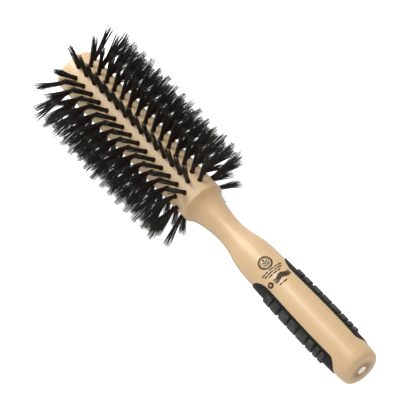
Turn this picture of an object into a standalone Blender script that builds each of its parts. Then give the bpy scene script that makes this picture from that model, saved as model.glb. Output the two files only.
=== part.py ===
"""Round barrel hair brush: a turned beech body, fourteen rows of bristle tufts and two rubber grips.

The brush lies along X, in metres. The origin is the centre of the barrel's flat tip and +X runs
to the butt. +Z is the front of the handle, and the grips sit in its two sides, at +Y and -Y.
An angle round the brush is counted from +Z towards +Y.
"""

import math

import bmesh
import bpy
from mathutils import Matrix, Vector

MM = 0.001
GAP = 0.3 * MM                      # clearance that neighbouring pieces keep
MERGE = 0.001 * MM                  # points closer than this are one point

# Turned body
ROWS = 14                           # rows of tufts round the barrel
BODY_SIDES = 2 * ROWS               # every row of holes has a facet of its own
BARREL_RADIUS = 11.75 * MM
BARREL_LENGTH = 103.8 * MM          # to the crisp edge where the shoulder begins
TIP_EDGE_RADIUS = 1.5 * MM
BUTT_X = 230.2 * MM
BUTT_EDGE_RADIUS = 2.8 * MM
DIMPLE_RADIUS = 2.5 * MM            # lathe centre's mark in the butt
DIMPLE_DEPTH = 1.0 * MM
EDGE_STEPS = 4                      # straight pieces in each rounded edge
# Place along the brush and radius, from the end of the barrel to the butt's rounded edge
HANDLE_OUTLINE = [
    (BARREL_LENGTH, BARREL_RADIUS),
    (107.0 * MM, 9.75 * MM),
    (113.0 * MM, 8.1 * MM),
    (124.0 * MM, 6.9 * MM),
    (132.0 * MM, 7.5 * MM),
    (139.0 * MM, 9.2 * MM),
    (146.0 * MM, 10.25 * MM),
    (156.0 * MM, 10.65 * MM),
    (190.0 * MM, 11.35 * MM),
    (214.0 * MM, 11.3 * MM),
    (BUTT_X - BUTT_EDGE_RADIUS, 10.7 * MM),
]
STEPS_PER_STRETCH = 3               # straight pieces between two points of the outline

# Tufts: each stands in a drilled hole, and the flared tips of a row touch
TUFTS_PER_ROW = 15
ROW_ANGLE = 2 * math.pi / ROWS
TUFT_PITCH = 6.26 * MM              # along the barrel
FIRST_TUFT_X = 6.7 * MM             # odd rows start half a pitch further on
TIP_PITCH = 6.5 * MM                # the tips fan out a little
HOLE_RADIUS = 1.28 * MM
HOLE_DEPTH = 6.0 * MM
TUFT_ROOT_RADIUS = 0.93 * MM
TUFT_SIDES = 6
MOUTH_HEIGHT = 0.3 * MM             # the tuft is straight up to here above the barrel
JOIN_RADIUS = 28.8 * MM             # from here outwards neighbouring tips touch
TIP_RADIUS = 31.5 * MM
JOIN_HALF_DEPTH = 2.3 * MM
TIP_HALF_DEPTH = 2.6 * MM

# Rubber grips
GRIP_START_X = 156.5 * MM
GRIP_END_X = 220.9 * MM
GRIP_HALF_WIDTH = 8.8 * MM          # round the handle
GRIP_START_ROUND = 11.0 * MM        # length of the rounded end towards the barrel
GRIP_END_ROUND = 5.2 * MM           # length of the blunter end towards the butt
GRIP_END_CUT = 0.02                 # share of a rounded end that is cut off, short of its point
GRIP_PROUD = 0.4 * MM               # above the wood
GRIP_SUNK = 1.2 * MM                # below the wood
GRIP_ROUND_STEPS = 5                # straight pieces in a rounded end
GRIP_STEPS_ALONG = 8                # between the rounded ends
GRIP_STEPS_ACROSS = 6
RIB_HEIGHT = 1.0 * MM               # above the grip's own surface
RIB_SUNK = 0.3 * MM                 # ribs start this far inside the grip
RIB_HALF_WIDTH = 7.5 * MM
RIB_SLANT = 4.4 * MM                # how far a rib's front end runs ahead of its back end
RIB_STEPS_ACROSS = 6
# Start and end of each raised rib along the brush, in groups that get shorter towards the butt
RIB_SPANS = [
    (166.0 * MM, 170.6 * MM),
    (171.8 * MM, 176.4 * MM),
    (178.4 * MM, 184.2 * MM),
    (185.4 * MM, 191.2 * MM),
    (192.4 * MM, 198.6 * MM),
    (200.0 * MM, 204.2 * MM),
    (205.6 * MM, 208.2 * MM),
    (209.6 * MM, 212.2 * MM),
]
SMOOTH_ANGLE = math.radians(30)


def remove_everything():
    """Start from an empty file."""
    for old in list(bpy.data.objects):
        bpy.data.objects.remove(old, do_unlink=True)


def make_material(name, colour, roughness):
    """Return a Principled material."""
    material = bpy.data.materials.new(name)
    material.use_nodes = True
    shader = material.node_tree.nodes["Principled BSDF"]
    shader.inputs["Base Color"].default_value = (*colour, 1.0)
    shader.inputs["Roughness"].default_value = roughness
    shader.inputs["Metallic"].default_value = 0.0
    return material


def beech_material():
    """Pale, clear-lacquered beech."""
    return make_material("beech", (0.76, 0.55, 0.33), 0.42)


def rubber_material():
    """Charcoal rubber."""
    return make_material("rubber", (0.03, 0.035, 0.033), 0.6)


def bristle_material():
    """Near-black natural bristle."""
    return make_material("bristle", (0.012, 0.010, 0.009), 0.45)


def add_object(name, mesh, material=None):
    """Put a mesh in the scene as a named object."""
    piece = bpy.data.objects.new(name, mesh)
    bpy.context.scene.collection.objects.link(piece)
    if material:
        mesh.materials.clear()
        mesh.materials.append(material)
    return piece


def finish_mesh(bm, name):
    """Weld, turn the faces outwards and return the mesh."""
    bmesh.ops.remove_doubles(bm, verts=bm.verts, dist=MERGE)
    bmesh.ops.recalc_face_normals(bm, faces=bm.faces)
    mesh = bpy.data.meshes.new(name)
    bm.to_mesh(mesh)
    bm.free()
    mesh.shade_smooth()
    mesh.set_sharp_from_angle(angle=SMOOTH_ANGLE)
    return mesh


def add_cutter(name, mesh):
    """A helper object that only shapes another one."""
    cutter = add_object(name, mesh)
    cutter.hide_render = True
    cutter.display_type = "WIRE"
    return cutter


def add_boolean(piece, cutter, operation):
    """Cut a piece with a helper, or join the helper to it."""
    modifier = piece.modifiers.new(cutter.name, "BOOLEAN")
    modifier.object = cutter
    modifier.operation = operation
    modifier.solver = "EXACT"


def outline_slope(index):
    """Slope of the handle's outline at one of its points."""
    before = max(index - 1, 0)
    after = min(index + 1, len(HANDLE_OUTLINE) - 1)
    x_before, radius_before = HANDLE_OUTLINE[before]
    x_after, radius_after = HANDLE_OUTLINE[after]
    return (radius_after - radius_before) / (x_after - x_before)


def handle_radius(x):
    """Radius of the turned handle at a place along the brush: a smooth curve through the outline."""
    index = 0
    while index < len(HANDLE_OUTLINE) - 2 and x > HANDLE_OUTLINE[index + 1][0]:
        index += 1
    x_start, radius_start = HANDLE_OUTLINE[index]
    x_end, radius_end = HANDLE_OUTLINE[index + 1]
    length = x_end - x_start
    t = (x - x_start) / length
    start_pull = outline_slope(index) * length
    end_pull = outline_slope(index + 1) * length
    return (
        (2 * t**3 - 3 * t**2 + 1) * radius_start
        + (t**3 - 2 * t**2 + t) * start_pull
        + (3 * t**2 - 2 * t**3) * radius_end
        + (t**3 - t**2) * end_pull
    )


def rounded_edge(centre_x, centre_radius, edge_radius, start_angle, end_angle):
    """Points of a rounded edge, as places along the brush and radii; angle 0 faces the butt."""
    points = []
    for step in range(EDGE_STEPS + 1):
        angle = start_angle + (end_angle - start_angle) * step / EDGE_STEPS
        x = centre_x + edge_radius * math.cos(angle)
        points.append((x, centre_radius + edge_radius * math.sin(angle)))
    return points


def body_profile():
    """Outline of the turned body from the middle of its tip to the bottom of the butt's dimple."""
    quarter = math.pi / 2
    profile = [(0.0, 0.0)]
    profile += rounded_edge(
        TIP_EDGE_RADIUS, BARREL_RADIUS - TIP_EDGE_RADIUS, TIP_EDGE_RADIUS, 2 * quarter, quarter
    )
    for (x_start, _), (x_end, _) in zip(HANDLE_OUTLINE, HANDLE_OUTLINE[1:]):
        for step in range(STEPS_PER_STRETCH):
            x = x_start + (x_end - x_start) * step / STEPS_PER_STRETCH
            profile.append((x, handle_radius(x)))
    end_x, end_radius = HANDLE_OUTLINE[-1]
    profile += rounded_edge(end_x, end_radius - BUTT_EDGE_RADIUS, BUTT_EDGE_RADIUS, quarter, 0)
    for step in range(EDGE_STEPS + 1):
        radius = DIMPLE_RADIUS * (1 - step / EDGE_STEPS)
        depth = DIMPLE_DEPTH * (1 - (radius / DIMPLE_RADIUS) ** 2)
        profile.append((BUTT_X - depth, radius))
    return profile


def turned_mesh(name, profile, sides):
    """Spin an outline round the X axis into a closed mesh, with the middle of a facet at +Z."""
    half_facet = math.pi / sides
    bm = bmesh.new()
    corners = []
    for x, radius in profile:
        place = (x, radius * math.sin(half_facet), radius * math.cos(half_facet))
        corners.append(bm.verts.new(place))
    edges = [bm.edges.new(pair) for pair in zip(corners, corners[1:])]
    bmesh.ops.spin(
        bm,
        geom=corners + edges,
        cent=(0.0, 0.0, 0.0),
        axis=(1.0, 0.0, 0.0),
        angle=2 * math.pi,
        steps=sides,
        use_merge=True,
    )
    return finish_mesh(bm, name)


def row_turn(row):
    """Rotation that carries +Z to the angle of a row of tufts."""
    return Matrix.Rotation(-row * ROW_ANGLE, 4, "X")


def row_start(row):
    """Place along the brush of a row's first tuft; every other row is staggered by half a pitch."""
    return FIRST_TUFT_X + (row % 2) * TUFT_PITCH / 2


def facet_radius():
    """Distance from the axis to the middle of one of the barrel's facets."""
    return BARREL_RADIUS * math.cos(math.pi / BODY_SIDES)


def holes_mesh():
    """The drill's cuts: one six-sided plug for each tuft."""
    bottom = facet_radius() - HOLE_DEPTH
    top = BARREL_RADIUS + HOLE_RADIUS
    bm = bmesh.new()
    for row in range(ROWS):
        for tuft in range(TUFTS_PER_ROW):
            x = row_start(row) + tuft * TUFT_PITCH
            place = row_turn(row) @ Matrix.Translation((x, 0.0, (bottom + top) / 2))
            bmesh.ops.create_cone(
                bm,
                cap_ends=True,
                segments=TUFT_SIDES,
                radius1=HOLE_RADIUS,
                radius2=HOLE_RADIUS,
                depth=top - bottom,
                matrix=place,
            )
    return finish_mesh(bm, "tuft_holes")


def tuft_section(bm, centre_x, height, half_width, half_depth, neighbour=None):
    """Six corners round a tuft, flat towards its neighbours. A touching neighbour lends two."""
    half_flat = half_depth / 2
    if neighbour:
        front_left, back_left = neighbour[2], neighbour[3]
    else:
        front_left = bm.verts.new((centre_x - half_width, -half_flat, height))
        back_left = bm.verts.new((centre_x - half_width, half_flat, height))
    front = bm.verts.new((centre_x, -half_depth, height))
    front_right = bm.verts.new((centre_x + half_width, -half_flat, height))
    back_right = bm.verts.new((centre_x + half_width, half_flat, height))
    back = bm.verts.new((centre_x, half_depth, height))
    return [front_left, front, front_right, back_right, back, back_left]


def join_sections(bm, lower, upper, skipped=()):
    """Side faces between two sections; a side that touches a neighbour is skipped."""
    for side in range(TUFT_SIDES):
        if side not in skipped:
            after = (side + 1) % TUFT_SIDES
            bm.faces.new((lower[side], lower[after], upper[after], upper[side]))


def tuft_row_mesh():
    """One row: tufts that stand apart in their holes and meet in one fringe at their tips."""
    root = facet_radius() - HOLE_DEPTH + GAP
    mouth = BARREL_RADIUS + MOUTH_HEIGHT
    join_share = (JOIN_RADIUS - mouth) / (TIP_RADIUS - mouth)
    join_pitch = TUFT_PITCH + (TIP_PITCH - TUFT_PITCH) * join_share
    root_half_width = TUFT_ROOT_RADIUS * math.cos(math.pi / TUFT_SIDES)
    middle = (TUFTS_PER_ROW - 1) / 2
    right_side, left_side = 2, 5
    bm = bmesh.new()
    join_before = None
    tip_before = None
    for tuft in range(TUFTS_PER_ROW):
        root_x = tuft * TUFT_PITCH
        join_x = middle * TUFT_PITCH + (tuft - middle) * join_pitch
        tip_x = middle * TUFT_PITCH + (tuft - middle) * TIP_PITCH
        root_ring = tuft_section(bm, root_x, root, root_half_width, TUFT_ROOT_RADIUS)
        mouth_ring = tuft_section(bm, root_x, mouth, root_half_width, TUFT_ROOT_RADIUS)
        join_ring = tuft_section(
            bm, join_x, JOIN_RADIUS, join_pitch / 2, JOIN_HALF_DEPTH, join_before
        )
        tip_ring = tuft_section(bm, tip_x, TIP_RADIUS, TIP_PITCH / 2, TIP_HALF_DEPTH, tip_before)
        touching = []
        if tuft > 0:
            touching.append(left_side)
        if tuft < TUFTS_PER_ROW - 1:
            touching.append(right_side)
        join_sections(bm, root_ring, mouth_ring)
        join_sections(bm, mouth_ring, join_ring)
        join_sections(bm, join_ring, tip_ring, touching)
        bm.faces.new(root_ring)
        bm.faces.new(tip_ring)
        join_before = join_ring
        tip_before = tip_ring
    return finish_mesh(bm, "bristle_row")


def grip_stations(margin):
    """Places along a grip and its half width round the handle there, grown by a margin."""
    start = GRIP_START_X - margin
    end = GRIP_END_X + margin
    stations = []
    for step in range(GRIP_ROUND_STEPS):
        share = (1 - GRIP_END_CUT) * math.cos(math.pi / 2 * step / GRIP_ROUND_STEPS)
        width = GRIP_HALF_WIDTH * math.sqrt(1 - share**2)
        stations.append((start + GRIP_START_ROUND * (1 - share), width + margin))
    straight_start = start + GRIP_START_ROUND
    straight_end = end - GRIP_END_ROUND
    for step in range(GRIP_STEPS_ALONG + 1):
        x = straight_start + (straight_end - straight_start) * step / GRIP_STEPS_ALONG
        stations.append((x, GRIP_HALF_WIDTH + margin))
    for step in range(GRIP_ROUND_STEPS - 1, -1, -1):
        share = (1 - GRIP_END_CUT) * math.cos(math.pi / 2 * step / GRIP_ROUND_STEPS)
        width = GRIP_HALF_WIDTH * math.sqrt(1 - share**2)
        stations.append((end - GRIP_END_ROUND * (1 - share), width + margin))
    return stations


def curved_pad_mesh(name, stations, side, sunk, proud, steps_across, slant=0.0):
    """A closed pad that follows the handle's curve, from below its surface to above it.

    stations holds places along the brush and half widths round the handle; side is 1 at +Y and
    -1 at -Y; slant moves one edge of the pad ahead of the other.
    """
    bm = bmesh.new()
    layers = []
    for lift in (-sunk, proud):
        grid = []
        for x, half_width in stations:
            line = []
            for step in range(steps_across + 1):
                across = 2 * step / steps_across - 1
                place = x + slant * across / 2
                wood = handle_radius(place)
                angle = side * math.pi / 2 + across * half_width / wood
                radius = wood + lift
                line.append(
                    bm.verts.new((place, radius * math.sin(angle), radius * math.cos(angle)))
                )
            grid.append(line)
        layers.append(grid)
    low, high = layers
    for grid in layers:
        for line, after in zip(grid, grid[1:]):
            for step in range(steps_across):
                bm.faces.new((line[step], line[step + 1], after[step + 1], after[step]))
    for end in (0, -1):
        for step in range(steps_across):
            bm.faces.new((low[end][step], low[end][step + 1], high[end][step + 1], high[end][step]))
    for edge in (0, -1):
        for index in range(len(stations) - 1):
            bm.faces.new(
                (low[index][edge], low[index + 1][edge], high[index + 1][edge], high[index][edge])
            )
    return finish_mesh(bm, name)


def make_body(material):
    """The barrel and handle, turned from one piece of beech, drilled and with pockets for the grips."""
    body = add_object("brush_body", turned_mesh("brush_body", body_profile(), BODY_SIDES), material)
    add_boolean(body, add_cutter("tuft_holes", holes_mesh()), "DIFFERENCE")
    for name, side in (("grip_pocket_left", 1), ("grip_pocket_right", -1)):
        pocket = curved_pad_mesh(
            name, grip_stations(GAP), side, GRIP_SUNK + GAP, 2 * GRIP_SUNK, GRIP_STEPS_ACROSS
        )
        add_boolean(body, add_cutter(name, pocket), "DIFFERENCE")
    return body


def make_grip(name, side, material):
    """A rubber grip inlaid in one side of the handle, with slanted raised ribs."""
    pad = curved_pad_mesh(
        name, grip_stations(0.0), side, GRIP_SUNK, GRIP_PROUD, GRIP_STEPS_ACROSS
    )
    grip = add_object(name, pad, material)
    for number, (start, end) in enumerate(RIB_SPANS, 1):
        rib_name = f"{name}_rib_{number}"
        rib = curved_pad_mesh(
            rib_name,
            [(start, RIB_HALF_WIDTH), (end, RIB_HALF_WIDTH)],
            side,
            RIB_SUNK - GRIP_PROUD,
            GRIP_PROUD + RIB_HEIGHT,
            RIB_STEPS_ACROSS,
            -RIB_SLANT * side,
        )
        add_boolean(grip, add_cutter(rib_name, rib), "UNION")
    return grip


def make_bristle_rows(material):
    """All the rows of tufts; they share one mesh."""
    mesh = tuft_row_mesh()
    for row in range(ROWS):
        tufts = add_object(f"bristle_row_{row + 1:02d}", mesh, material)
        tufts.matrix_world = row_turn(row) @ Matrix.Translation(Vector((row_start(row), 0.0, 0.0)))


def make_brush():
    """Build every sub-part."""
    remove_everything()
    beech = beech_material()
    rubber = rubber_material()
    bristle = bristle_material()
    make_body(beech)
    make_grip("grip_left", 1, rubber)
    make_grip("grip_right", -1, rubber)
    make_bristle_rows(bristle)


make_brush()
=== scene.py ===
"""Looks of the round barrel brush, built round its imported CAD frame.

Lengths are in metres, in the CAD's own frame: X runs from the barrel's tip to the butt, +Z is the
front of the handle, and an angle round the brush is counted from +Z towards +Y.
"""

import math

import bmesh
import bpy
import numpy as np
from mathutils import Matrix, Vector


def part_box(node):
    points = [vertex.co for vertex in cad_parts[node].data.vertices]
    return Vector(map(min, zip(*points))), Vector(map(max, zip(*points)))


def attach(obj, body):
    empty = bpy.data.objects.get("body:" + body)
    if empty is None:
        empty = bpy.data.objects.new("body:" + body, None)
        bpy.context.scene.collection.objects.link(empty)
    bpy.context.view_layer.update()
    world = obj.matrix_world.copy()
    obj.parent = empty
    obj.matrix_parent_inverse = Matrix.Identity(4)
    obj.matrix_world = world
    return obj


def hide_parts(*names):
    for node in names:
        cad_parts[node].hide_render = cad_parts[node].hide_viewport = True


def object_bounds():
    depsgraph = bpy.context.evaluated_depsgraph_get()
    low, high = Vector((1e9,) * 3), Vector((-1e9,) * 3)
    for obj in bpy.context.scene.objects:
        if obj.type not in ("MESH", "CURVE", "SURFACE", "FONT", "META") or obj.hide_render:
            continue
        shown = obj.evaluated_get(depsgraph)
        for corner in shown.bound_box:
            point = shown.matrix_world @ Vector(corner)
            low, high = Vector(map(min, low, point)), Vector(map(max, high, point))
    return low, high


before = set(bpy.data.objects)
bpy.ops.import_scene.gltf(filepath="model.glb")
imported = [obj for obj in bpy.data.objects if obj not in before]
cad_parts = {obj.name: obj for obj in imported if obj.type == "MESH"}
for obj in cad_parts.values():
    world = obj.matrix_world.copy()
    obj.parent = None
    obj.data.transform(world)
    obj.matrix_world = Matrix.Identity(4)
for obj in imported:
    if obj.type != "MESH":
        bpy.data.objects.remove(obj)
CAD_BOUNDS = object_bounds()

MM = 0.001
BODY = "root"
BODY_NODE = "brush_body"
ROW_NODES = sorted(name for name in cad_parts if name.startswith("bristle_row_"))

# Measures taken from the frame
BODY_LOW, BODY_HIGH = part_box(BODY_NODE)
TIP_X = BODY_LOW.x
BUTT_X = BODY_HIGH.x

# Camera: a long lens that looks a little from the butt's side and from the brush's right
CAMERA_DISTANCE = 8.0
FRAME_WIDTH = 0.2003                # what the picture's side spans at the brush
SENSOR = 36.0
CAMERA_TILT = math.radians(25)      # from square-on towards the butt
CAMERA_ROUND = math.radians(10.3)   # round the brush from the front of the handle, towards -Y
AXIS_SLOPE = math.radians(46.4)     # the brush's slope down to the right in the picture
TARGET_X = 101.15 * MM

# Turned body
CAD_SIDES = 28
BODY_SIDES = 112
LEAST_HANDLE_RADIUS = 6.6 * MM      # every point of the outline lies further out
BODY_SHARP_DEGREES = 32
SHARP_DEGREES = 40
OUTLINE_STEP = 0.8 * MM
TIP_STEP = 0.35 * MM
BARREL_STEP = 3.1 * MM
ARRIS_CUT = 0.35 * MM               # how much of the crisp edge is rounded away on each side
HOLE_RADIUS = 1.28 * MM
HOLE_DEPTH = 6.0 * MM
HOLE_FLARE = 0.18 * MM              # the mouth is countersunk by this much
FLARE_DEPTH = 0.25 * MM
HOLE_SIDES = 16
DIMPLE_RADIUS = 2.5 * MM
DIMPLE_DEPTH = 1.0 * MM
DIMPLE_STEPS = 8

# Tufts
TUFTS_PER_ROW = 15
TUFT_PITCH = 6.26 * MM
TIP_RADIUS = 32.9 * MM
FAN_PER_TUFT = 0.10 * MM            # the whole row fans out a little
TIP_END_LEAN = 1.8 * MM             # the first tuft leans out over the barrel's tip
TIP_END_FADE = 0.42
BUTT_END_LEAN = 1.1 * MM
BUTT_END_FADE = 0.4
END_WIDENING = 0.35                 # the tufts at both ends also fan out more
TUFT_LEAN = 0.28 * MM
TUFT_UNEVEN = 0.5 * MM

# Hairs
HAIRS_PER_TUFT = 48
HAIR_SIDES = 3
HAIR_RADIUS = 0.125 * MM
HAIR_TIP_RADIUS = 0.05 * MM
HAIR_FOOT = 9.2 * MM                # from the axis: well inside the hole
HAIR_STATIONS = (0.0, 0.13, 0.36, 0.52, 0.66, 0.79, 0.9, 1.0)
HAIR_TAPER_START = 0.7
ROOT_SPREAD = 1.09 * MM
TIP_SPREAD = 1.95 * MM              # along the brush
TIP_SPREAD_ROUND = 1.35 * MM        # round it
FLARE_START = 0.32
FLARE_POWER = 1.35
EARLY_LEAN = 0.35                   # share of a tuft's lean that starts at its root
CLUMPS = 15                         # points that the tips of a tuft gather at
CLUMP_ANGLE_SCATTER = 0.25
CLUMP_REACH = (0.35, 1.0)           # their places, as shares of the tuft's spread
CLUMPING = 0.52
TIP_SCATTER = 0.15 * MM
HAIR_BEND = 0.22 * MM
LENGTH_SCATTER = 0.55 * MM
LENGTH_SHAPE = 1.6                  # of the gamma law that shortens the hairs
THICKNESS_RANGE = (0.8, 1.15)
STRAY_SHARE = 0.035
STRAY_REACH = 1.3 * MM
GOLDEN_ANGLE = math.pi * (3 - math.sqrt(5))
SEED = 20

# Grips
GRIPS = [("grip_left", 1), ("grip_right", -1)]
GRIP_GAP = 0.08 * MM
GRIP_HALF_WIDTH = 8.8 * MM
GRIP_START_ROUND = 11.0 * MM        # length of the rounded end towards the barrel
GRIP_END_ROUND = 5.2 * MM           # length of the blunter end towards the butt
CAD_END_CUT = 0.02                  # share of its rounded ends that the CAD grip goes without
GRIP_END_CUT = 0.001
GRIP_PROUD = 0.4 * MM
GRIP_SUNK = 1.2 * MM
GRIP_EDGE = 0.55 * MM               # width of the rounded border
GRIP_ROUND_STEPS = 40
GRIP_STEPS_ALONG = 260
GRIP_STEPS_ACROSS = 84
POCKET_ROUND_STEPS = 12
POCKET_STEPS_ALONG = 40
POCKET_STEPS_ACROSS = 14
RIB_HEIGHT = 1.0 * MM
RIB_HALF_WIDTH = 7.5 * MM
RIB_SLANT = 4.4 * MM                # how far a rib's front end runs ahead of its back end
RIB_CORNER = 0.7 * MM
RIB_SOFTNESS = 0.13 * MM
RIB_CROWN = 0.06
PAD_SHARP_DEGREES = 50
RIB_SPANS = [
    (166.0 * MM, 170.6 * MM),
    (171.8 * MM, 176.4 * MM),
    (178.4 * MM, 184.2 * MM),
    (185.4 * MM, 191.2 * MM),
    (192.4 * MM, 198.6 * MM),
    (200.0 * MM, 204.2 * MM),
    (205.6 * MM, 208.2 * MM),
    (209.6 * MM, 212.2 * MM),
]

# Printed mark
INK_PROUD = 0.03 * MM
INK_SUNK = 0.05 * MM
INK_STEP = 0.4 * MM
INK_SHARP_DEGREES = 30
EMBLEM_X = 155.8 * MM
EMBLEM_RINGS = [(3.4 * MM, 0.95 * MM, 40), (2.4 * MM, 0.28 * MM, 36)]   # radius, width, points
STEM_STATIONS = (2.3 * MM, 1.0 * MM, -0.8 * MM)
STEM_WIDTH = 0.3 * MM
TOP_LEAF_FOOT = -0.5 * MM
SIDE_LEAF_FEET = (1.6 * MM, 0.2 * MM)
LEAF_OFFSET = 0.2 * MM
LEAF_LENGTH = 2.0 * MM
TOP_LEAF_WIDTH = 1.0 * MM
SIDE_LEAF_WIDTH = 0.85 * MM
LEAF_TURN = 1.0
LEAF_POINTS = 9
LEAST_LEAF_WIDTH = 0.05 * MM
RULE_WIDTH = 0.78 * MM
DASH_GAP = 0.4 * MM
# Place along the brush, length and the shares of the dashes of each thin printed line
RULES = [
    (160.5 * MM, 13.2 * MM, (3, 2, 4, 2, 3)),
    (161.9 * MM, 11.2 * MM, (2, 4, 2, 3)),
    (163.3 * MM, 7.4 * MM, (3, 3, 2)),
    (170.4 * MM, 4.8 * MM, (2, 3)),
]
WAVE_X = 166.9 * MM
WAVE_LINES = [(-1.0 * MM, 0.0), (0.0, 0.25), (1.0 * MM, 0.5)]       # place and lag of each line
WAVE_TURNS = 1.5
WAVE_FADE = 0.3
WAVE_POINTS = 40
WAVE_START = -3.3 * MM
WAVE_LENGTH = 10.2 * MM
WAVE_HEIGHT = 0.6 * MM
WAVE_WIDTH = 1.0 * MM
STAMP_X = 166.8 * MM
STAMP_ROUND = -5.9 * MM             # round the handle from its front
STAMP_RADIUS = 1.22 * MM
STAMP_WIDTH = 1.05 * MM
STAMP_LEAF_FOOT = 0.55 * MM
STAMP_LEAF_LENGTH = 1.1 * MM
STAMP_LEAF_WIDTH = 0.5 * MM

# Materials
NOISE_ROUGHNESS = 0.55

# Beech
PITH = (0.0, 46 * MM, 30 * MM)      # the middle of the growth rings, seen from the brush's axis
GROWTH_RING = 2.3 * MM
BEECH_PALE = (0.640, 0.450, 0.252)
BEECH_DEEP = (0.575, 0.392, 0.206)
LATE_WOOD = (0.50, 0.315, 0.155)
STREAK = (0.52, 0.335, 0.17)
FIBRE = (0.47, 0.30, 0.145)
RAY = (0.30, 0.165, 0.072)
# painted light: the barrel's wood is coloured paler where the tufts would shade it
BARREL_PAINTED_LIGHT = (0.715, 0.515, 0.300)
# painted shade for the shoulder's slope, which faces away from the key light
SHOULDER_PAINTED_SHADE = (0.46, 0.265, 0.105)
# end grain: partly its own browner tone, partly painted shade on the butt
END_GRAIN_AND_SHADE = (0.270, 0.158, 0.070)
# painted rim light: the lower part of the butt's end face is coloured paler
PAINTED_RIM_LIGHT = (0.52, 0.43, 0.32)
# near-white colour of the lathe centre's dimple
DIMPLE_WHITE = (0.86, 0.80, 0.68)
SHOULDER_SHADE_FADE = (116 * MM, 124 * MM)    # where the shoulder's painted shade ends
END_GRAIN_SHADE_RADII = (3.0 * MM, 8.8 * MM)
RIM_LIGHT_HEIGHTS = (-9 * MM, -1 * MM)

# Rubber
RUBBER_DARK = (0.0042, 0.0050, 0.0042)
RUBBER_PALE = (0.0085, 0.0095, 0.0082)
# painted highlight colour for the tops of the raised ribs
RIB_TOP_HIGHLIGHT = (0.056, 0.057, 0.052)
RIB_HIGHLIGHT_RADII = (12.0 * MM, 12.45 * MM)  # from the axis: the raised ribs get a painted highlight that makes their tops paler

# Bristle and ink
ROOT_DARK = (0.032, 0.0140, 0.0080)
ROOT_PALE = (0.062, 0.0280, 0.0160)
HAIR_DARK = (0.0175, 0.0182, 0.0148)
HAIR_PALE = (0.0365, 0.0370, 0.0295)
BROWN_ROOT = (2 * MM, 10.5 * MM)        # from the barrel: where the brown fades to black
INK_DARK = (0.036, 0.021, 0.010)
INK_THIN = (0.190, 0.122, 0.062)

# Stage and light
FLOOR_GAP = 0.2 * MM
FLOOR_SIZE = 6.0
FLOOR_GLOW = 0.90                   # only the camera sees it
WORLD_SEEN = 1.0
WORLD_STRENGTH = 0.58
KEY_POWER = 8.4
KEY_DIRECTION = (-0.80, 0.02, 0.62)
KEY_DISTANCE = 1.0
KEY_SIZE = 0.7
FRONT_POWER = 4.6                   # reaches the barrel between the rows of tufts
FRONT_DIRECTION = (-0.40, 0.03, 0.90)
FRONT_DISTANCE = 1.2
FRONT_SIZE = 0.35
FILL_POWER = 1.5                    # weak, from beyond the butt
FILL_DIRECTION = (0.88, -0.34, 0.32)
FILL_DISTANCE = 1.0
FILL_SIZE = 0.3


# ---------------------------------------------------------------- helpers

def add_object(name, mesh, material):
    """Link a mesh as a named piece with its material."""
    piece = bpy.data.objects.new(name, mesh)
    bpy.context.scene.collection.objects.link(piece)
    mesh.materials.clear()
    mesh.materials.append(material)
    return piece


def place(piece, slot, *nodes):
    """Let a finished piece ride on the brush and hide the CAD nodes it stands for; slot is not
    used.
    """
    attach(piece, BODY)
    if nodes:
        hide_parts(*nodes)


def smooth_mesh(bm, name, sharp_degrees=SHARP_DEGREES):
    """Turn faces outwards, shade smooth apart from sharp edges, and return the mesh."""
    bmesh.ops.recalc_face_normals(bm, faces=bm.faces)
    mesh = bpy.data.meshes.new(name)
    bm.to_mesh(mesh)
    bm.free()
    mesh.shade_smooth()
    mesh.set_sharp_from_angle(angle=math.radians(sharp_degrees))
    return mesh


def round_brush(x, radius, angle):
    """A point at a place along the brush, a distance from its axis and an angle round it."""
    return Vector((x, radius * math.sin(angle), radius * math.cos(angle)))


def smoothstep(low, high, value):
    """0 below low, 1 above high, and a smooth rise between; arrays are fine."""
    t = np.clip((value - low) / (high - low), 0.0, 1.0)
    return t * t * (3 - 2 * t)


# ---------------------------------------------------------------- the turned outline, from the CAD

def cad_outline():
    """The CAD body's outline along one of its corners: places along the brush and radii."""
    corner_angle = math.pi / CAD_SIDES
    found = set()
    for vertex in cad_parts[BODY_NODE].data.vertices:
        x, y, z = vertex.co
        radius = math.hypot(y, z)
        if radius > LEAST_HANDLE_RADIUS and abs(math.atan2(y, z) - corner_angle) < 1e-4:
            found.add((round(x, 6), round(radius, 6)))
    return sorted(found)


OUTLINE = cad_outline()
BARREL_RADIUS = max(radius for _, radius in OUTLINE)
BARREL_END = max(x for x, radius in OUTLINE if radius > BARREL_RADIUS - 1e-5)
TIP_CHAIN = [point for point in OUTLINE if point[0] < BARREL_END / 2]
HANDLE_CHAIN = [point for point in OUTLINE if point[0] >= BARREL_END - 1e-6]


def curve_through(points, step):
    """Points of a smooth curve through a chain, about a step apart."""
    p = np.array(points)
    lengths = np.linalg.norm(np.diff(p, axis=0), axis=1)
    s = np.concatenate([[0.0], np.cumsum(lengths)])
    slopes = np.gradient(p, s, axis=0)
    made = []
    for index, length in enumerate(lengths):
        count = max(1, int(math.ceil(length / step)))
        for k in range(count):
            t = k / count
            made.append(
                (2 * t**3 - 3 * t**2 + 1) * p[index]
                + (t**3 - 2 * t**2 + t) * slopes[index] * length
                + (3 * t**2 - 2 * t**3) * p[index + 1]
                + (t**3 - t**2) * slopes[index + 1] * length
            )
    made.append(p[-1])
    return [tuple(point) for point in made]


HANDLE_CURVE = curve_through(HANDLE_CHAIN, OUTLINE_STEP)
HANDLE_X = np.array([x for x, _ in HANDLE_CURVE])
HANDLE_RADII = np.array([radius for _, radius in HANDLE_CURVE])


def handle_radius(x):
    """Radius of the handle's wood at a place, or an array of places, along the brush."""
    return np.interp(x, HANDLE_X, HANDLE_RADII)


# ---------------------------------------------------------------- materials

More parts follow.
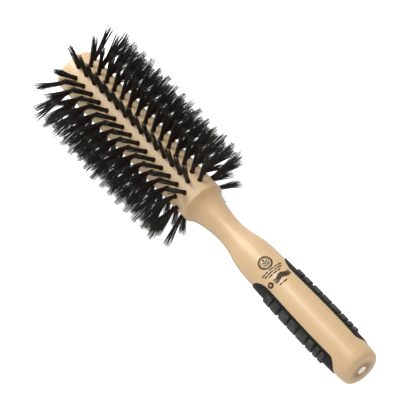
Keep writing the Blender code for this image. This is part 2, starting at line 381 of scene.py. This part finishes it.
class Nodes:
    """Short calls for building one material's node tree."""

    def __init__(self, name):
        self.material = bpy.data.materials.new(name)
        self.material.use_nodes = True
        self.tree = self.material.node_tree
        self.shader = self.tree.nodes["Principled BSDF"]

    def node(self, kind, **settings):
        """Add a node and set its own properties."""
        made = self.tree.nodes.new(kind)
        for key, value in settings.items():
            setattr(made, key, value)
        return made

    def link(self, source, target):
        """Join an output socket to an input socket."""
        self.tree.links.new(source, target)

    def value(self, input_name, number):
        """Set one of the shader's own numbers."""
        self.shader.inputs[input_name].default_value = number

    def math(self, operation, first, second=None):
        """A Math node; each input is a socket or a number."""
        made = self.node("ShaderNodeMath", operation=operation)
        for socket, value in zip(made.inputs, (first, second)):
            if isinstance(value, bpy.types.NodeSocket):
                self.link(value, socket)
            elif value is not None:
                socket.default_value = value
        return made.outputs[0]

    def ramp(self, value, low, high, to_low=0.0, to_high=1.0):
        """Map a value smoothly from one range to another."""
        made = self.node("ShaderNodeMapRange", interpolation_type="SMOOTHSTEP")
        self.link(value, made.inputs["Value"])
        made.inputs["From Min"].default_value = low
        made.inputs["From Max"].default_value = high
        made.inputs["To Min"].default_value = to_low
        made.inputs["To Max"].default_value = to_high
        return made.outputs["Result"]

    def mix(self, share, first, second):
        """Mix two colours; each is a socket or an RGB triple."""
        made = self.node("ShaderNodeMix", data_type="RGBA")
        if isinstance(share, bpy.types.NodeSocket):
            self.link(share, made.inputs["Factor"])
        else:
            made.inputs["Factor"].default_value = share
        for socket, value in ((made.inputs[6], first), (made.inputs[7], second)):
            if isinstance(value, bpy.types.NodeSocket):
                self.link(value, socket)
            else:
                socket.default_value = (*value, 1.0)
        return made.outputs[2]

    def stretched(self, x, y, z, offset=(0.0, 0.0, 0.0)):
        """Object coordinates scaled along each axis, in cycles per metre."""
        coordinates = self.node("ShaderNodeTexCoord")
        mapping = self.node("ShaderNodeMapping")
        mapping.inputs["Scale"].default_value = (x, y, z)
        mapping.inputs["Location"].default_value = offset
        self.link(coordinates.outputs["Object"], mapping.inputs["Vector"])
        return mapping.outputs["Vector"]

    def split(self, vector):
        """The X, Y and Z of a vector, by name."""
        separate = self.node("ShaderNodeSeparateXYZ")
        self.link(vector, separate.inputs[0])
        return separate.outputs

    def off_axis(self, offset=(0.0, 0.0, 0.0)):
        """Distance from the brush's axis, or from a line beside it."""
        position = self.split(self.stretched(1.0, 1.0, 1.0, offset))
        squares = [self.math("POWER", position[name], 2.0) for name in ("Y", "Z")]
        return self.math("SQRT", self.math("ADD", *squares))

    def noise(self, vector, detail):
        """Noise between 0 and 1 over the given coordinates."""
        made = self.node("ShaderNodeTexNoise")
        made.inputs["Scale"].default_value = 1.0
        made.inputs["Detail"].default_value = detail
        made.inputs["Roughness"].default_value = NOISE_ROUGHNESS
        self.link(vector, made.inputs["Vector"])
        return made.outputs["Fac"]

    def bump(self, height, strength, distance):
        """Feed a height, in metres after distance, to the shader's normal."""
        made = self.node("ShaderNodeBump")
        made.inputs["Strength"].default_value = strength
        made.inputs["Distance"].default_value = distance
        self.link(height, made.inputs["Height"])
        self.link(made.outputs["Normal"], self.shader.inputs["Normal"])


def beech_material():
    """Clear-lacquered beech: growth layers, fine fibres, short dark rays, end grain browned partly
    by its own tone and partly by painted shade, and painted light and shade on the barrel,
    shoulder and butt.
    """
    n = Nodes("beech")
    # Growth layers are shells round a pith that lies outside the stick, along X
    rings = n.math("MULTIPLY", n.off_axis(PITH), 1 / GROWTH_RING)
    wander = n.noise(n.stretched(9, 40, 40), detail=2)
    layers = n.math("FRACT", n.math("ADD", rings, n.math("MULTIPLY", wander, 3.0)))
    late_wood = n.ramp(layers, 0.55, 0.97)
    broad = n.noise(n.stretched(14, 60, 60, (3, 1, 7)), detail=2)
    fibres = n.noise(n.stretched(60, 2600, 2600), detail=2)
    streaks = n.noise(n.stretched(22, 620, 620, (0, 5, 2)), detail=3)
    flecks = n.ramp(n.noise(n.stretched(330, 1250, 1250, (9, 4, 1)), detail=1), 0.67, 0.76)
    fleck_areas = n.ramp(n.noise(n.stretched(35, 160, 160, (2, 8, 5)), detail=1), 0.42, 0.60)
    rays = n.math("MULTIPLY", flecks, fleck_areas)

    colour = n.mix(broad, BEECH_PALE, BEECH_DEEP)
    colour = n.mix(n.math("MULTIPLY", late_wood, 0.16), colour, LATE_WOOD)
    colour = n.mix(n.ramp(streaks, 0.45, 0.8, 0.0, 0.28), colour, STREAK)
    colour = n.mix(n.ramp(fibres, 0.5, 0.9, 0.0, 0.22), colour, FIBRE)
    colour = n.mix(n.math("MULTIPLY", rays, 0.62), colour, RAY)

    # The barrel is painted paler, as if lit between the tufts, and the shoulder's slope gets
    # painted shade where it faces away from the key light
    position = n.split(n.stretched(1.0, 1.0, 1.0))
    towards_butt = n.split(n.node("ShaderNodeNewGeometry").outputs["True Normal"])["X"]
    barrel_light = n.ramp(position["X"], BARREL_END - 1 * MM, BARREL_END, 0.8, 0.0)
    colour = n.mix(barrel_light, colour, BARREL_PAINTED_LIGHT)
    # painted shade: the shoulder is coloured darker where it faces the butt, away from the key
    # light
    shoulder_shade = n.ramp(towards_butt, 0.12, 0.55, 0.0, 0.45)
    before_neck = n.ramp(position["X"], *SHOULDER_SHADE_FADE, 1.0, 0.0)
    colour = n.mix(n.math("MULTIPLY", shoulder_shade, before_neck), colour, SHOULDER_PAINTED_SHADE)

    # The butt's end grain darkens towards its middle, partly by its own browner tone and partly by
    # painted shade, and the lower part of its end face gets a painted rim light
    off_axis = n.off_axis()
    inner = n.ramp(off_axis, *END_GRAIN_SHADE_RADII, 1.0, 0.0)
    end_grain_and_shade = n.math("MULTIPLY", n.ramp(towards_butt, 0.45, 0.90), inner)
    colour = n.mix(n.math("MULTIPLY", end_grain_and_shade, 0.90), colour, END_GRAIN_AND_SHADE)
    # painted rim light: the flat end is coloured paler towards its lower edge, as a back light
    # would make it
    flat_end = n.ramp(towards_butt, 0.93, 0.995)
    rim_light = n.ramp(position["Z"], *RIM_LIGHT_HEIGHTS, 0.65, 0.0)
    colour = n.mix(n.math("MULTIPLY", flat_end, rim_light), colour, PAINTED_RIM_LIGHT)

    # The lathe centre's dimple is coloured near white
    in_mark = n.ramp(off_axis, DIMPLE_RADIUS * 0.85, DIMPLE_RADIUS * 1.05, 1.0, 0.0)
    mark = n.math("MULTIPLY", in_mark, n.ramp(towards_butt, 0.3, 0.6))
    n.link(n.mix(mark, colour, DIMPLE_WHITE), n.shader.inputs["Base Color"])

    rough = n.ramp(streaks, 0.3, 0.7, 0.36, 0.46)
    rough = n.math("ADD", rough, n.math("MULTIPLY", end_grain_and_shade, 0.15))
    n.link(rough, n.shader.inputs["Roughness"])
    n.value("Coat Weight", 0.22)
    n.value("Coat Roughness", 0.34)
    height = n.math("ADD", n.math("MULTIPLY", fibres, 0.6), n.math("MULTIPLY", rays, -1.0))
    n.bump(height, 0.35, 0.03 * MM)
    return n.material


def rubber_material():
    """Charcoal rubber with a fine moulded grain, and a painted highlight that makes its raised
    ribs paler.
    """
    n = Nodes("rubber")
    grain = n.noise(n.stretched(5200, 5200, 5200), detail=2)
    cloudy = n.noise(n.stretched(240, 240, 240, (1, 2, 3)), detail=3)
    # painted highlight: the rib tops are coloured paler where light catches them
    raised = n.ramp(n.off_axis(), *RIB_HIGHLIGHT_RADII)
    rib_highlight = n.math("MULTIPLY", raised, n.ramp(cloudy, 0.35, 0.65, 0.25, 1.0))
    colour = n.mix(rib_highlight, n.mix(cloudy, RUBBER_DARK, RUBBER_PALE), RIB_TOP_HIGHLIGHT)
    n.link(colour, n.shader.inputs["Base Color"])
    n.link(n.ramp(cloudy, 0.3, 0.7, 0.50, 0.64), n.shader.inputs["Roughness"])
    n.value("Specular IOR Level", 0.20)
    n.bump(grain, 0.30, 0.02 * MM)
    return n.material


def bristle_material():
    """Black natural bristle, warm brown where it leaves the wood, with a thin waxy sheen."""
    n = Nodes("bristle")
    brown_start, brown_end = BROWN_ROOT
    rising = n.ramp(n.off_axis(), BARREL_RADIUS + brown_start, BARREL_RADIUS + brown_end)
    strands = n.noise(n.stretched(1500, 1500, 1500), detail=1)
    root = n.mix(strands, ROOT_DARK, ROOT_PALE)
    free = n.mix(strands, HAIR_DARK, HAIR_PALE)
    n.link(n.mix(rising, root, free), n.shader.inputs["Base Color"])
    n.link(n.ramp(strands, 0.3, 0.7, 0.38, 0.56), n.shader.inputs["Roughness"])
    n.value("Specular IOR Level", 0.22)
    n.bump(n.noise(n.stretched(9000, 9000, 9000), detail=1), 0.2, 0.01 * MM)
    return n.material


def ink_material():
    """Dark brown printing ink, a little thin and broken up by the grain under it."""
    n = Nodes("ink")
    patchy = n.noise(n.stretched(700, 1900, 1900), detail=3)
    colour = n.mix(n.ramp(patchy, 0.48, 0.78), INK_DARK, INK_THIN)
    n.link(colour, n.shader.inputs["Base Color"])
    n.link(n.ramp(patchy, 0.3, 0.7, 0.50, 0.62), n.shader.inputs["Roughness"])
    n.value("Specular IOR Level", 0.25)
    return n.material


def shown_only(tree, seen, lighting):
    """A strength that the picture sees, and another that lights the brush."""
    path = tree.nodes.new("ShaderNodeLightPath")
    scale = tree.nodes.new("ShaderNodeMapRange")
    tree.links.new(path.outputs["Is Camera Ray"], scale.inputs["Value"])
    scale.inputs["To Min"].default_value = lighting
    scale.inputs["To Max"].default_value = seen
    return scale.outputs["Result"]


def floor_material():
    """Plain white studio floor, lit from behind so that it stays white."""
    n = Nodes("floor")
    soft = n.noise(n.stretched(1.5, 1.5, 1.5), detail=2)
    n.link(n.mix(soft, (0.80, 0.80, 0.80), (0.84, 0.84, 0.84)), n.shader.inputs["Base Color"])
    n.value("Roughness", 0.9)
    n.value("Specular IOR Level", 0.1)
    n.value("Emission Color", (1.0, 1.0, 1.0, 1.0))
    strength = shown_only(n.tree, FLOOR_GLOW, 0.0)
    n.link(strength, n.shader.inputs["Emission Strength"])
    return n.material


# ---------------------------------------------------------------- the turned body

def rounded_corner(before, corner, after, cut_back, count=3):
    """Points of a small round in place of a corner between two others."""
    corner = np.array(corner)
    toward_before = np.array(before) - corner
    toward_after = np.array(after) - corner
    start = corner + toward_before / np.linalg.norm(toward_before) * cut_back
    end = corner + toward_after / np.linalg.norm(toward_after) * cut_back
    points = []
    for step in range(count + 1):
        t = step / count
        points.append(tuple((1 - t) ** 2 * start + 2 * t * (1 - t) * corner + t**2 * end))
    return points


def body_profile():
    """The fine outline: flat tip, barrel, rounded arris, handle, and the dimple in the butt."""
    tip = curve_through(TIP_CHAIN, TIP_STEP)
    tip_end = tip[-1][0]
    profile = [(TIP_X, 0.0), (TIP_X, tip[0][1] * 0.6)] + tip
    steps = int((BARREL_END - tip_end) / BARREL_STEP)
    for step in range(1, steps):
        profile.append((tip_end + (BARREL_END - tip_end) * step / steps, BARREL_RADIUS))
    profile += rounded_corner(profile[-1], HANDLE_CURVE[0], HANDLE_CURVE[1], ARRIS_CUT)
    profile += HANDLE_CURVE[1:]
    flat_radius = HANDLE_CURVE[-1][1]
    profile.append((BUTT_X, (flat_radius + DIMPLE_RADIUS) / 2))
    for step in range(DIMPLE_STEPS + 1):
        share = 1 - step / DIMPLE_STEPS
        profile.append((BUTT_X - DIMPLE_DEPTH * (1 - share**2), DIMPLE_RADIUS * share))
    return profile


def turned(name, profile, sides):
    """Spin an outline round X."""
    bm = bmesh.new()
    corners = [bm.verts.new((x, 0.0, radius)) for x, radius in profile]
    edges = [bm.edges.new(pair) for pair in zip(corners, corners[1:])]
    bmesh.ops.spin(bm, geom=corners + edges, cent=(0, 0, 0), axis=(1, 0, 0),
                   angle=2 * math.pi, steps=sides, use_merge=True)
    bmesh.ops.remove_doubles(bm, verts=bm.verts, dist=1e-6)
    return smooth_mesh(bm, name)


def row_places():
    """For each row node: its angle round the brush, and the place of its middle tuft."""
    places = {}
    for name in ROW_NODES:
        vertices = [vertex.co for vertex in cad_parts[name].data.vertices]
        centre = sum(vertices, Vector()) / len(vertices)
        low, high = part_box(name)
        places[name] = (math.atan2(centre.y, centre.z), (low.x + high.x) / 2)
    return places


ROW_PLACES = row_places()


def tuft_x(middle, tuft):
    """Place along the brush of one tuft's root."""
    return middle + (tuft - (TUFTS_PER_ROW - 1) / 2) * TUFT_PITCH


def drill_mesh():
    """The drill's cuts: a round plug for each tuft, flared where it leaves the wood."""
    bottom = BARREL_RADIUS - HOLE_DEPTH
    rings = [
        (bottom, HOLE_RADIUS),
        (BARREL_RADIUS - FLARE_DEPTH, HOLE_RADIUS),
        (BARREL_RADIUS, HOLE_RADIUS + HOLE_FLARE),
        (BARREL_RADIUS + HOLE_RADIUS, HOLE_RADIUS + HOLE_FLARE),
    ]
    bm = bmesh.new()
    for angle, middle in ROW_PLACES.values():
        turn = Matrix.Rotation(-angle, 4, "X")
        for tuft in range(TUFTS_PER_ROW):
            x = tuft_x(middle, tuft)
            loops = []
            for height, radius in rings:
                loop = []
                for side in range(HOLE_SIDES):
                    a = 2 * math.pi * side / HOLE_SIDES
                    point = Vector((x + radius * math.cos(a), radius * math.sin(a), height))
                    loop.append(bm.verts.new(turn @ point))
                loops.append(loop)
            join_loops(bm, loops)
            bm.faces.new(loops[0])
            bm.faces.new(loops[-1])
    return smooth_mesh(bm, "drill")


def cut(piece, *tool_meshes):
    """Take closed meshes away from a piece."""
    for tool_mesh in tool_meshes:
        tool = bpy.data.objects.new("tool", tool_mesh)
        bpy.context.scene.collection.objects.link(tool)
        modifier = piece.modifiers.new("cut", "BOOLEAN")
        modifier.object = tool
        modifier.operation = "DIFFERENCE"
        modifier.solver = "EXACT"
        bpy.context.view_layer.update()
        depsgraph = bpy.context.evaluated_depsgraph_get()
        result = bpy.data.meshes.new_from_object(piece.evaluated_get(depsgraph))
        piece.modifiers.clear()
        piece.data = result
        bpy.data.objects.remove(tool)
    piece.data.shade_smooth()
    piece.data.set_sharp_from_angle(angle=math.radians(BODY_SHARP_DEGREES))


def make_body(material):
    """The turned, drilled body with its two pockets."""
    body = add_object(BODY_NODE + "_wood", turned("body", body_profile(), BODY_SIDES), material)
    pockets = [grip_pocket(node, side) for node, side in GRIPS]
    cut(body, drill_mesh(), *pockets)
    place(body, "beech", BODY_NODE)


# ---------------------------------------------------------------- the grips

def grip_ends(node):
    """Where the two rounded ends of a grip's outline close, from the CAD grip's box."""
    low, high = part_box(node)
    return low.x - CAD_END_CUT * GRIP_START_ROUND, high.x + CAD_END_CUT * GRIP_END_ROUND


def grip_line(node, round_steps, straight_steps, margin=0.0):
    """Places along a grip and its half width round the handle there, as arrays."""
    start, end = grip_ends(node)
    start -= margin
    end += margin
    share = (1 - GRIP_END_CUT) * np.cos(np.pi / 2 * np.arange(round_steps) / round_steps)
    widths = GRIP_HALF_WIDTH * np.sqrt(1 - share**2)
    middle = np.linspace(start + GRIP_START_ROUND, end - GRIP_END_ROUND, straight_steps + 1)
    x = np.concatenate([
        start + GRIP_START_ROUND * (1 - share),
        middle,
        (end - GRIP_END_ROUND * (1 - share))[::-1],
    ])
    straight = np.full(straight_steps + 1, GRIP_HALF_WIDTH)
    return x, np.concatenate([widths, straight, widths[::-1]]) + margin


def edge_distance(node, x, across):
    """About how far places on a grip lie inside its outline."""
    start, end = grip_ends(node)
    near_start = np.clip(1 - (x - start) / GRIP_START_ROUND, 0.0, 1.0)
    near_end = np.clip(1 - (end - x) / GRIP_END_ROUND, 0.0, 1.0)
    inside = 1 - near_start**2 - near_end**2 - (across / GRIP_HALF_WIDTH) ** 2
    along_slope = near_start / GRIP_START_ROUND + near_end / GRIP_END_ROUND
    across_slope = np.abs(across) / GRIP_HALF_WIDTH**2
    return inside / np.maximum(2 * np.hypot(along_slope, across_slope), 1e-3)


def rib_height(x, across, side):
    """Height of the slanted ribs at places on a grip."""
    slanted = x + RIB_SLANT * side * across / (2 * RIB_HALF_WIDTH)
    height = np.zeros_like(x)
    for start, end in RIB_SPANS:
        half_length = (end - start) / 2
        corner = min(RIB_CORNER, half_length * 0.9)
        beyond_x = np.abs(slanted - (start + end) / 2) - half_length + corner
        beyond_y = np.abs(across) - RIB_HALF_WIDTH + corner
        outside = np.hypot(np.maximum(beyond_x, 0), np.maximum(beyond_y, 0))
        edge = outside + np.minimum(np.maximum(beyond_x, beyond_y), 0) - corner
        rise = smoothstep(RIB_SOFTNESS, -RIB_SOFTNESS, edge)
        crown = 1 - RIB_CROWN * (across / RIB_HALF_WIDTH) ** 2
        height = np.maximum(height, rise * crown * RIB_HEIGHT)
    return height


def pad_mesh(name, x, half_width, side, steps_across, bottom, top):
    """A closed pad on the side of the handle, between two heights over the wood.

    x and half_width are arrays along the brush; top is a height or a function of place and
    distance round the handle.
    """
    bm = bmesh.new()
    across = np.linspace(-1, 1, steps_across + 1)[None, :] * half_width[:, None]
    along = np.repeat(x[:, None], steps_across + 1, axis=1)
    wood = handle_radius(along)
    angle = side * np.pi / 2 + across / wood
    grids = []
    for lift in (bottom, top(along, across) if callable(top) else top):
        radius = wood + lift
        points = np.stack([along, radius * np.sin(angle), radius * np.cos(angle)], axis=-1)
        grids.append([[bm.verts.new(point) for point in line] for line in points])
    low, high = grids
    for grid in grids:
        for line, after in zip(grid, grid[1:]):
            for step in range(steps_across):
                bm.faces.new((line[step], line[step + 1], after[step + 1], after[step]))
    join_loops(bm, [rim(low), rim(high)])
    return smooth_mesh(bm, name, PAD_SHARP_DEGREES)


def rim(grid):
    """The vertices round the edge of a grid, in order."""
    around = list(grid[0])
    around += [line[-1] for line in grid[1:]]
    around += list(reversed(grid[-1][:-1]))
    around += [line[0] for line in reversed(grid[1:-1])]
    return around


def grip_pocket(node, side):
    """What is cut out of the wood for a grip."""
    x, half_width = grip_line(node, POCKET_ROUND_STEPS, POCKET_STEPS_ALONG, GRIP_GAP)
    bottom = -GRIP_SUNK - GRIP_GAP
    return pad_mesh("pocket", x, half_width, side, POCKET_STEPS_ACROSS, bottom, 2 * GRIP_SUNK)


def make_grip(node, side, material):
    """A moulded rubber grip with a rounded border and slanted raised ribs."""
    def surface(x, across):
        inset = np.clip(1 - edge_distance(node, x, across) / GRIP_EDGE, 0.0, 1.0)
        border = GRIP_EDGE * (1 - np.sqrt(1 - inset**2))
        return GRIP_PROUD - border + rib_height(x, across, side)

    x, half_width = grip_line(node, GRIP_ROUND_STEPS, GRIP_STEPS_ALONG)
    mesh = pad_mesh(node, x, half_width, side, GRIP_STEPS_ACROSS, -GRIP_SUNK, surface)
    place(add_object(node + "_rubber", mesh, material), "rubber", node)


# ---------------------------------------------------------------- the bristles

def strand(bm, path, radii, twist):
    """A thin three-sided hair along a path, closed at both ends."""
    path = np.asarray(path)
    ahead = np.gradient(path, axis=0)
    ahead /= np.linalg.norm(ahead, axis=1)[:, None]
    beside = np.cross(ahead, (1.0, 0.0, 0.0))
    beside /= np.linalg.norm(beside, axis=1)[:, None]
    above = np.cross(ahead, beside)
    loops = []
    for point, u, v, radius in zip(path, beside, above, radii):
        loop = []
        for side in range(HAIR_SIDES):
            a = twist + 2 * math.pi * side / HAIR_SIDES
            loop.append(bm.verts.new(point + radius * (math.cos(a) * u + math.sin(a) * v)))
        loops.append(loop)
    join_loops(bm, loops)
    bm.faces.new(loops[0])
    bm.faces.new(loops[-1])


def join_loops(bm, loops):
    """Side faces between closed loops of equally many vertices."""
    for lower, upper in zip(loops, loops[1:]):
        count = len(lower)
        for index in range(count):
            after = (index + 1) % count
            bm.faces.new((lower[index], lower[after], upper[after], upper[index]))


def end_lean(tuft):
    """How far a tuft's tip leans along the brush: the end tufts splay out over the ends."""
    lean = (tuft - (TUFTS_PER_ROW - 1) / 2) * FAN_PER_TUFT
    lean -= TIP_END_LEAN * TIP_END_FADE**tuft
    lean += BUTT_END_LEAN * BUTT_END_FADE ** (TUFTS_PER_ROW - 1 - tuft)
    return lean


def end_widening(tuft):
    """How much wider than the others a tuft fans out."""
    from_butt_end = TUFTS_PER_ROW - 1 - tuft
    return 1 + END_WIDENING * (TIP_END_FADE**tuft + BUTT_END_FADE**from_butt_end)


def tuft_hairs(bm, rng, angle, x, lean, widening):
    """One tuft: hairs that leave a hole side by side and fan out into uneven, clumped tips."""
    outward = np.array((0.0, math.sin(angle), math.cos(angle)))
    round_way = np.array((0.0, math.cos(angle), -math.sin(angle)))
    along = np.array((1.0, 0.0, 0.0))
    tuft_lean = np.array((lean, 0.0)) + rng.normal(0, TUFT_LEAN, 2)
    tuft_length = TIP_RADIUS - abs(rng.normal(0, TUFT_UNEVEN))
    turn = rng.uniform(0, 2 * math.pi)
    clump_angles = turn + 2 * math.pi * np.arange(CLUMPS) / CLUMPS
    clump_angles += rng.normal(0, CLUMP_ANGLE_SCATTER, CLUMPS)
    spread = np.array((TIP_SPREAD, TIP_SPREAD_ROUND)) * widening
    clump_reach = rng.uniform(*CLUMP_REACH, CLUMPS)
    clumps = np.stack([np.cos(clump_angles), np.sin(clump_angles)], axis=1) * clump_reach[:, None]
    clumps = np.vstack([clumps, [[0.0, 0.0]]]) * spread
    for hair in range(HAIRS_PER_TUFT):
        share = math.sqrt((hair + 0.5) / HAIRS_PER_TUFT)
        a = turn + hair * GOLDEN_ANGLE
        root = ROOT_SPREAD * share * np.array((math.cos(a), math.sin(a)))
        own_tip = spread * share * np.array((math.cos(a), math.sin(a)))
        nearest = clumps[np.argmin(np.linalg.norm(clumps - own_tip, axis=1))]
        tip = own_tip + (nearest - own_tip) * CLUMPING + rng.normal(0, TIP_SCATTER, 2) + tuft_lean
        if rng.random() < STRAY_SHARE:
            tip += rng.normal(0, STRAY_REACH, 2)
        bend = rng.normal(0, HAIR_BEND, 2)
        top = tuft_length - rng.gamma(LENGTH_SHAPE, LENGTH_SCATTER)
        path = []
        radii = []
        for t in HAIR_STATIONS:
            flare = max(0.0, (t - FLARE_START) / (1 - FLARE_START)) ** FLARE_POWER
            early = tuft_lean * EARLY_LEAN * t
            offset = root + (tip - root - tuft_lean * EARLY_LEAN) * flare + early
            offset = offset + bend * math.sin(math.pi * t) * t
            height = HAIR_FOOT + (top - HAIR_FOOT) * t
            path.append(x * along + offset[0] * along + offset[1] * round_way + height * outward)
            taper = smoothstep(HAIR_TAPER_START, 1.0, t)
            radii.append(HAIR_RADIUS + (HAIR_TIP_RADIUS - HAIR_RADIUS) * taper)
        strand(bm, path, np.array(radii) * rng.uniform(*THICKNESS_RANGE), a)


def make_bristles(material):
    """One piece for each row of tufts."""
    rng = np.random.default_rng(SEED)
    for node, (angle, middle) in ROW_PLACES.items():
        bm = bmesh.new()
        for tuft in range(TUFTS_PER_ROW):
            x = tuft_x(middle, tuft)
            tuft_hairs(bm, rng, angle, x, end_lean(tuft), end_widening(tuft))
        mesh = bpy.data.meshes.new(node)
        bmesh.ops.recalc_face_normals(bm, faces=bm.faces)
        bm.to_mesh(mesh)
        bm.free()
        mesh.shade_smooth()
        place(add_object(node + "_hairs", mesh, material), "bristle", node)


# ---------------------------------------------------------------- the printed mark

def ribbon(bm, points, widths, closed=False):
    """A thin closed band of ink on the handle's front.

    points are places along the brush and distances round it from the front, towards +Y.
    """
    points = np.asarray(points, dtype=float)
    widths = np.broadcast_to(np.asarray(widths, dtype=float), (len(points),))
    if closed:
        ahead = np.roll(points, -1, axis=0) - np.roll(points, 1, axis=0)
    else:
        ahead = np.gradient(points, axis=0)
    ahead /= np.linalg.norm(ahead, axis=1)[:, None]
    sideways = np.stack([-ahead[:, 1], ahead[:, 0]], axis=1)
    loops = []
    for point, way, width in zip(points, sideways, widths):
        loop = []
        for reach, lift in ((-1, -INK_SUNK), (1, -INK_SUNK), (1, INK_PROUD), (-1, INK_PROUD)):
            x, distance = point + way * reach * width / 2
            wood = float(handle_radius(x))
            loop.append(bm.verts.new(round_brush(x, wood + lift, distance / wood)))
        loops.append(loop)
    if closed:
        loops.append(loops[0])
    join_loops(bm, loops)
    if not closed:
        bm.faces.new(loops[0])
        bm.faces.new(loops[-1])


def ring(bm, x, distance, radius, width, count):
    """A printed circle."""
    angles = 2 * np.pi * np.arange(count) / count
    points = np.stack([x + radius * np.cos(angles), distance + radius * np.sin(angles)], axis=1)
    ribbon(bm, points, width, closed=True)


def dashes(bm, x, total, lengths):
    """A broken line across the handle, in dashes with the given shares of its length."""
    free = total - DASH_GAP * (len(lengths) - 1)
    start = -total / 2
    for share in lengths:
        length = free * share / sum(lengths)
        steps = max(2, int(length / INK_STEP))
        places = np.linspace(start, start + length, steps + 1)
        ribbon(bm, np.stack([np.full(steps + 1, x), places], axis=1), RULE_WIDTH)
        start += length + DASH_GAP


def leaf(bm, x, distance, length, width, turn):
    """A pointed leaf that grows from a place, turned from the way towards the barrel."""
    t = np.linspace(0.0, 1.0, LEAF_POINTS)
    along = x - length * t * math.cos(turn)
    points = np.stack([along, distance + length * t * math.sin(turn)], axis=1)
    ribbon(bm, points, np.maximum(width * np.sin(np.pi * t**0.8), LEAST_LEAF_WIDTH))


def make_print(material):
    """A generic printed mark where the handle carries one: a sprig in a ring, rules and a wave."""
    bm = bmesh.new()
    for radius, width, count in EMBLEM_RINGS:
        ring(bm, EMBLEM_X, 0.0, radius, width, count)
    ribbon(bm, [(EMBLEM_X + station, 0.0) for station in STEM_STATIONS], STEM_WIDTH)
    leaf(bm, EMBLEM_X + TOP_LEAF_FOOT, 0.0, LEAF_LENGTH, TOP_LEAF_WIDTH, 0.0)
    for foot in SIDE_LEAF_FEET:
        for side in (1, -1):
            distance = LEAF_OFFSET * side
            leaf(bm, EMBLEM_X + foot, distance, LEAF_LENGTH, SIDE_LEAF_WIDTH, LEAF_TURN * side)
    for x, length, shares in RULES:
        dashes(bm, x, length, shares)
    t = np.linspace(0.0, 1.0, WAVE_POINTS)
    across = WAVE_START + WAVE_LENGTH * t
    weight = WAVE_WIDTH * (0.62 + 0.5 * np.sin(np.pi * t))
    for offset, lag in WAVE_LINES:
        wave = WAVE_HEIGHT * np.sin(2 * np.pi * WAVE_TURNS * t + lag) * (1 - WAVE_FADE * t)
        ribbon(bm, np.stack([WAVE_X + offset + wave, across], axis=1), weight)
    ring(bm, STAMP_X, STAMP_ROUND, STAMP_RADIUS, STAMP_WIDTH, 24)
    leaf(bm, STAMP_X + STAMP_LEAF_FOOT, STAMP_ROUND, STAMP_LEAF_LENGTH, STAMP_LEAF_WIDTH, 0.5)
    mesh = smooth_mesh(bm, "print", INK_SHARP_DEGREES)
    place(add_object("printed_mark", mesh, material), "beech")


# ---------------------------------------------------------------- stage, lights and camera

def camera_axes():
    """The camera's direction from the brush, and the picture's up."""
    along = Vector((1.0, 0.0, 0.0))
    front = Vector((0.0, -math.sin(CAMERA_ROUND), math.cos(CAMERA_ROUND)))
    across = Vector((0.0, math.cos(CAMERA_ROUND), math.sin(CAMERA_ROUND)))
    toward = math.cos(CAMERA_TILT) * front + math.sin(CAMERA_TILT) * along
    axis = math.cos(CAMERA_TILT) * along - math.sin(CAMERA_TILT) * front
    up = -math.sin(AXIS_SLOPE) * axis + math.cos(AXIS_SLOPE) * across
    return toward, up


def aimed(obj, location, toward, up):
    """Put an object at a place, with its local -Z looking against toward."""
    right = up.cross(toward).normalized()
    upright = toward.cross(right).normalized()
    turn = Matrix((right, upright, toward.normalized())).transposed().to_4x4()
    obj.matrix_world = Matrix.Translation(location) @ turn


def make_camera():
    """A long lens from the photograph's side."""
    toward, up = camera_axes()
    data = bpy.data.cameras.new("camera")
    data.sensor_width = SENSOR
    data.lens = SENSOR * CAMERA_DISTANCE / FRAME_WIDTH
    data.clip_start = 0.05
    data.clip_end = 20.0
    camera = bpy.data.objects.new("camera", data)
    bpy.context.scene.collection.objects.link(camera)
    aimed(camera, Vector((TARGET_X, 0, 0)) + toward * CAMERA_DISTANCE, toward, up)
    bpy.context.scene.camera = camera


def area_light(name, direction, distance, size, power):
    """A square soft light that looks at the middle of the brush."""
    data = bpy.data.lights.new(name, "AREA")
    data.shape = "SQUARE"
    data.size = size
    data.energy = power
    light = bpy.data.objects.new(name, data)
    bpy.context.scene.collection.objects.link(light)
    toward = Vector(direction).normalized()
    up = Vector((1, 0, 0)) if abs(toward.x) < 0.9 else Vector((0, 1, 0))
    aimed(light, Vector((TARGET_X, 0, 0)) + toward * distance, toward, up)


def make_stage():
    """White floor, white surroundings and the studio lights."""
    lowest = CAD_BOUNDS[0].z - FLOOR_GAP
    bm = bmesh.new()
    corners = [(-1, -1), (1, -1), (1, 1), (-1, 1)]
    bm.faces.new([bm.verts.new((x * FLOOR_SIZE, y * FLOOR_SIZE, lowest)) for x, y in corners])
    mesh = bpy.data.meshes.new("floor")
    bm.to_mesh(mesh)
    bm.free()
    add_object("floor", mesh, floor_material())

    world = bpy.data.worlds.new("surroundings")
    world.use_nodes = True
    background = world.node_tree.nodes["Background"]
    background.inputs["Color"].default_value = (1.0, 1.0, 1.0, 1.0)
    strength = shown_only(world.node_tree, WORLD_SEEN, WORLD_STRENGTH)
    world.node_tree.links.new(strength, background.inputs["Strength"])
    bpy.context.scene.world = world

    area_light("key", KEY_DIRECTION, KEY_DISTANCE, KEY_SIZE, KEY_POWER)
    area_light("front", FRONT_DIRECTION, FRONT_DISTANCE, FRONT_SIZE, FRONT_POWER)
    area_light("butt_fill", FILL_DIRECTION, FILL_DISTANCE, FILL_SIZE, FILL_POWER)
    bpy.context.scene.view_settings.view_transform = "Standard"


# ---------------------------------------------------------------- build

beech = beech_material()
rubber = rubber_material()
bristle = bristle_material()
make_body(beech)
for grip_node, grip_side in GRIPS:
    make_grip(grip_node, grip_side, rubber)
make_bristles(bristle)
make_print(ink_material())
make_stage()
make_camera()
